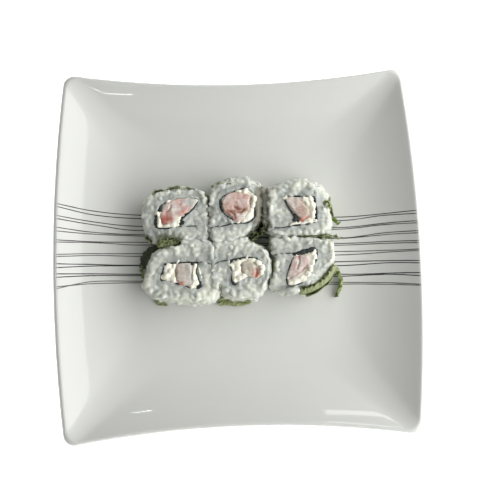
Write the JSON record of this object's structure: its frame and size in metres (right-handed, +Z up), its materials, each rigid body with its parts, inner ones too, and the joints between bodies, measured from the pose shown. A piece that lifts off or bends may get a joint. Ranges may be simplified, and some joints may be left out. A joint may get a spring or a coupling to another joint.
{
  "type": "uramaki roll plate",
  "caption": "Cut uramaki rice rolls with prawn, cream cheese and seaweed, some in green leaf, on a square white porcelain plate with upturned sides.",
  "frame": {"origin": "middle of the plate's underside, on the surface that it stands on", "axes": "+Z up; +X to the right and +Y away from a diner who sees the rolls in two rows"},
  "size_m": [0.25, 0.2494, 0.031],
  "materials": {
    "porcelain": "clear glossy glaze over white porcelain, with thin grey printed lines",
    "rice": "moist cooked short-grain rice, slightly see-through and sticky",
    "seaweed": "thin dark green-black roasted seaweed sheet",
    "cream_cheese": "soft white cream cheese, smeared",
    "prawn": "cooked prawn, pink and white with red-orange skin",
    "leaf": "thin wilted green salad leaf"
  },
  "bodies": {
    "root": {"plate": "porcelain", "rice_1": "rice", "nori_1": "seaweed", "cheese_1": "cream_cheese", "prawn_1": "prawn", "rice_2": "rice", "nori_2": "seaweed", "cheese_2": "cream_cheese", "prawn_2": "prawn", "rice_3": "rice", "nori_3": "seaweed", "cheese_3": "cream_cheese", "prawn_3": "prawn", "rice_4": "rice", "nori_4": "seaweed", "cheese_4": "cream_cheese", "prawn_4": "prawn", "rice_5": "rice", "nori_5": "seaweed", "cheese_5": "cream_cheese", "prawn_5": "prawn", "rice_6": "rice", "nori_6": "seaweed", "cheese_6": "cream_cheese", "prawn_6": "prawn", "leaf_1_back": "leaf", "leaf_1_corner": "leaf", "leaf_1_side": "leaf", "leaf_2_corner": "leaf", "leaf_2_front": "leaf", "leaf_3_side": "leaf", "leaf_4_side": "leaf", "leaf_6_front": "leaf", "leaf_1_4": "leaf", "leaf_3_6": "leaf", "leaf_5_6": "leaf", "leaf_4_front": "leaf", "leaf_5_front": "leaf", "leaf_6_curl": "leaf"}
  },
  "joints": []
}
